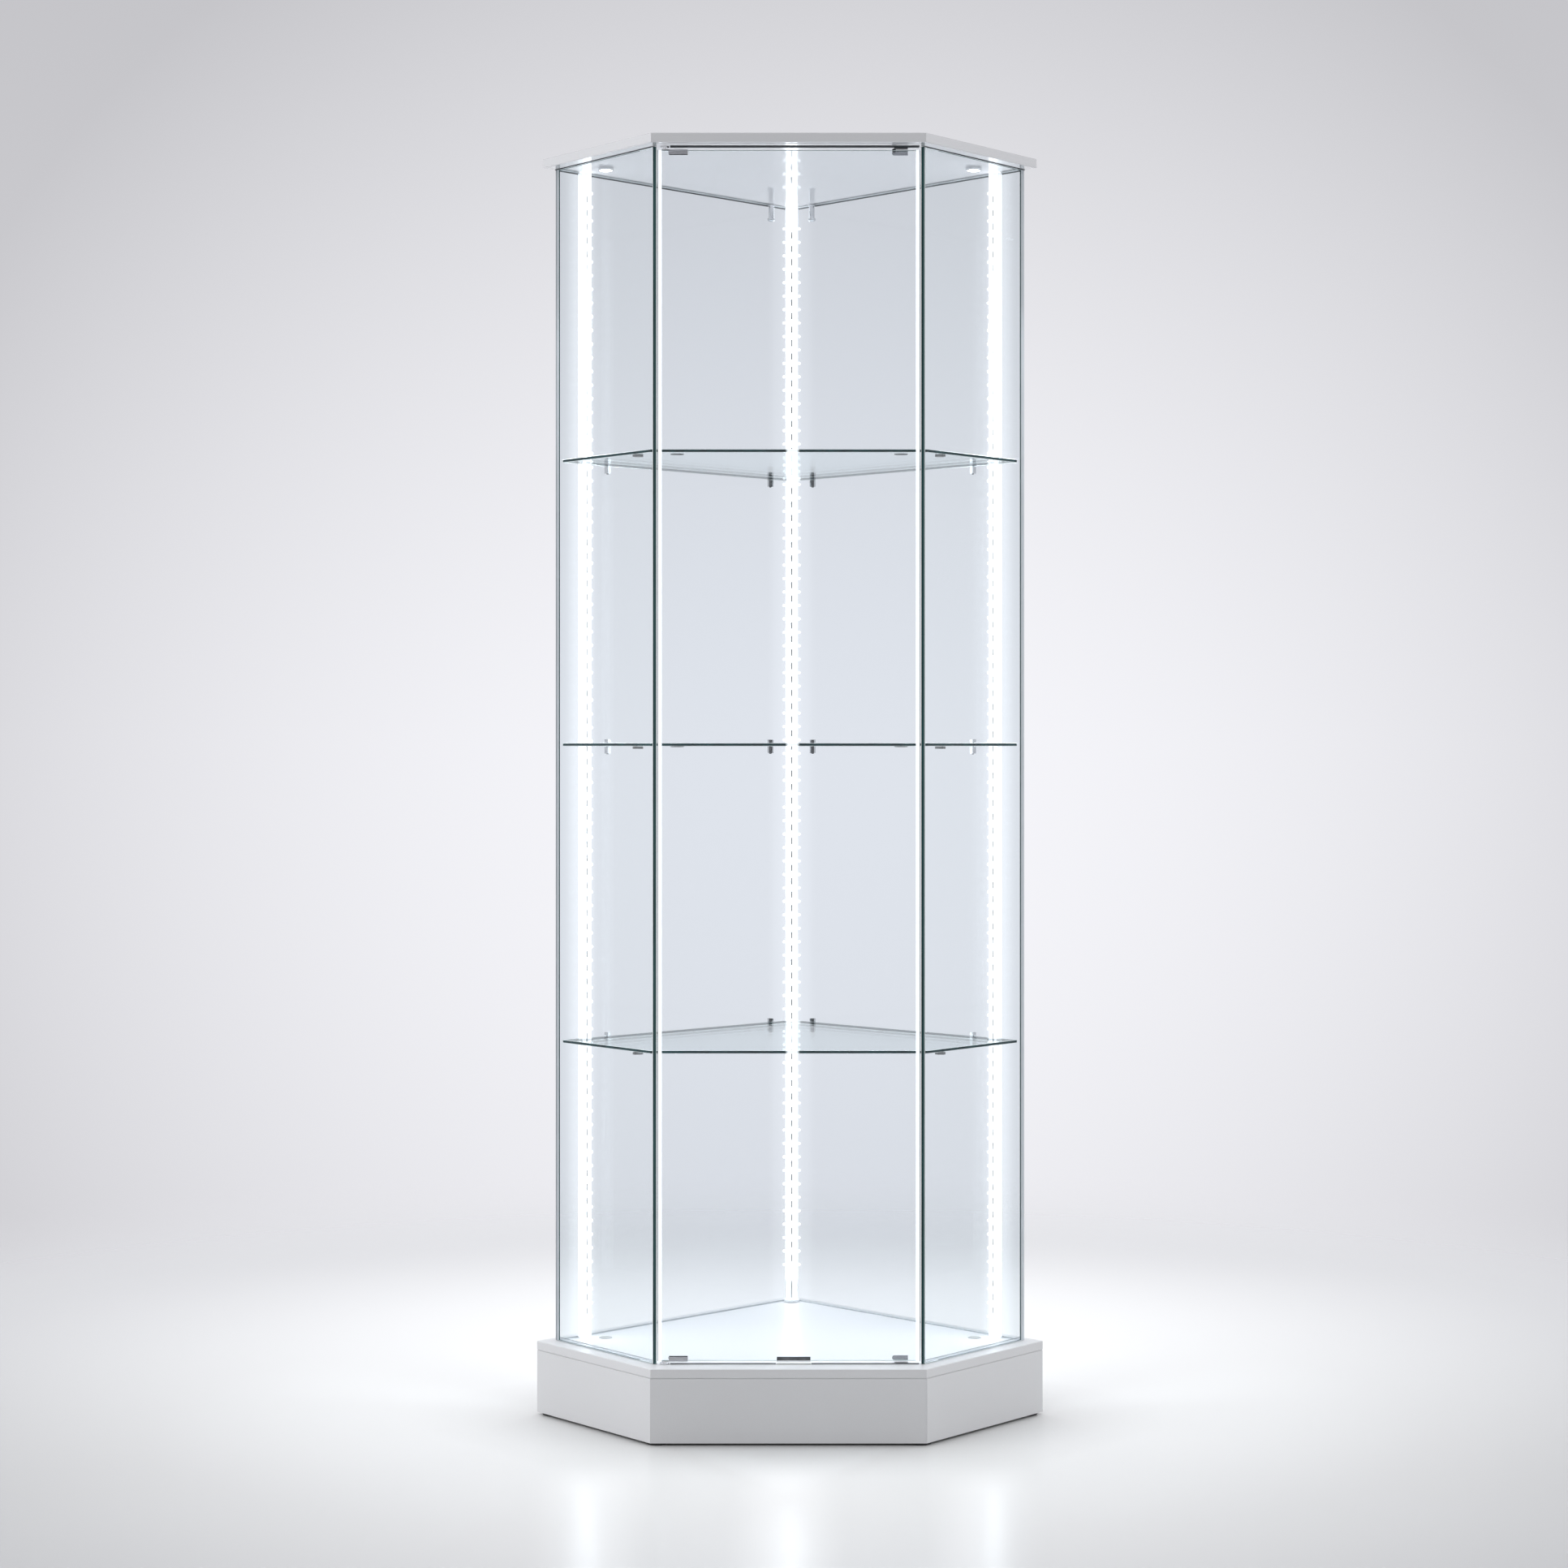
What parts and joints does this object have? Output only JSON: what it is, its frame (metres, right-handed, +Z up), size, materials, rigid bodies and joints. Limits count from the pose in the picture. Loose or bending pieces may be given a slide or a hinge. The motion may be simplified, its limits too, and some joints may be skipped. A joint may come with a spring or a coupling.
{
  "type": "corner curio cabinet",
  "caption": "Corner display cabinet of clear glass with a pivoting front door, glass shelves on metal clips and upright light bars, between a white plinth and a white top.",
  "frame": {"origin": "middle of the plan's bounding box, on the floor that the feet stand on", "axes": "+Z up, the door faces -Y, the room's corner is at +Y, +X is to the right as one faces the door"},
  "size_m": [0.6558, 0.514, 1.626],
  "materials": {
    "white_board": "satin white lacquer on board",
    "clear_glass": "clear tempered glass with dark green polished edges",
    "chrome": "polished",
    "dark_metal": "dark grey satin",
    "milky_channel": "milky extruded channel lit from inside",
    "light_lens": "clear diffuser over lit LEDs",
    "lamp": "polished rim round a lit lens",
    "clear_seal": "clear soft profile",
    "white_nylon": "moulded",
    "black_plastic": "moulded"
  },
  "bodies": {
    "cabinet": {"base_board": "white_board", "top_board": "white_board", "plinth_front": "white_board", "plinth_left": "white_board", "plinth_right": "white_board", "plinth_back_left": "white_board", "plinth_back_right": "white_board", "foot_front_left": "black_plastic", "foot_front_right": "black_plastic", "foot_left": "black_plastic", "foot_right": "black_plastic", "foot_back": "black_plastic", "side_glass_left": "clear_glass", "side_glass_right": "clear_glass", "back_glass_left": "clear_glass", "back_glass_right": "clear_glass", "shelf_lower": "clear_glass", "shelf_middle": "clear_glass", "shelf_upper": "clear_glass", "corner_clip_lower_left": "chrome", "corner_clip_lower_right": "chrome", "corner_clip_middle_left": "chrome", "corner_clip_middle_right": "chrome", "corner_clip_upper_left": "chrome", "corner_clip_upper_right": "chrome", "back_clip_lower_left": "chrome", "back_clip_lower_right": "chrome", "back_clip_middle_left": "chrome", "back_clip_middle_right": "chrome", "back_clip_upper_left": "chrome", "back_clip_upper_right": "chrome", "front_pad_lower_left": "dark_metal", "front_pad_lower_right": "dark_metal", "front_pad_middle_left": "dark_metal", "front_pad_middle_right": "dark_metal", "front_pad_upper_left": "dark_metal", "front_pad_upper_right": "dark_metal", "led_channel_left": "milky_channel", "led_channel_right": "milky_channel", "led_channel_back": "milky_channel", "led_lens_left": "light_lens", "led_lens_right": "light_lens", "led_lens_back": "light_lens", "door_stop_top": "chrome", "door_stop_bottom": "chrome", "top_connector_left": "chrome", "top_connector_right": "chrome", "ceiling_lamp_left": "lamp", "ceiling_lamp_right": "lamp", "hinge_bushing_top": "chrome", "hinge_bushing_bottom": "chrome", "magnet_catch": "white_nylon", "led_driver": "black_plastic", "dc_inlet": "black_plastic"},
    "door": {"door_glass": "clear_glass", "door_seal_left": "clear_seal", "door_seal_right": "clear_seal", "door_clamp_top": "chrome", "door_clamp_bottom": "chrome", "strike_plate": "dark_metal"}
  },
  "joints": [
    {"name": "door_hinge", "type": "hinge", "parent": "cabinet", "child": "door", "pos_m": [-0.15517, -0.2245, 0.8545], "axis": [0, 0, -1], "range_deg": [0, 110]}
  ]
}
